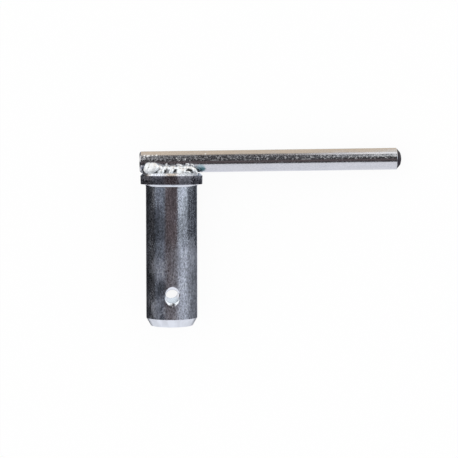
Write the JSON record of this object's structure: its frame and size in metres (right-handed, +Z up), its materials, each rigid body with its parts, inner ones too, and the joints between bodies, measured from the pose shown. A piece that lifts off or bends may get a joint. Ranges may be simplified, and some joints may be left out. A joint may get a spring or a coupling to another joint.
{
  "type": "top link pin",
  "caption": "Turned pin with a collar and a cross hole near its chamfered nose, and a round bar handle welded across the collar.",
  "frame": {"origin": "on the pin's axis, in the plane of the collar's underside", "axes": "+Z up with the pin lying at rest; the shank runs towards -Y, dipping 2.3 degrees to its nose; the handle bar runs towards +X, its free end down on the surface"},
  "size_m": [0.0967, 0.0664, 0.0231],
  "materials": {
    "pin_plating": "bright zinc plated, turned",
    "bar_plating": "bright zinc plated, drawn bar",
    "weld_plating": "bright zinc plated weld bead"
  },
  "bodies": {
    "root": {"pin": "pin_plating", "handle_bar": "bar_plating", "weld_bead_upper": "weld_plating", "weld_bead_lower": "weld_plating"}
  },
  "joints": []
}
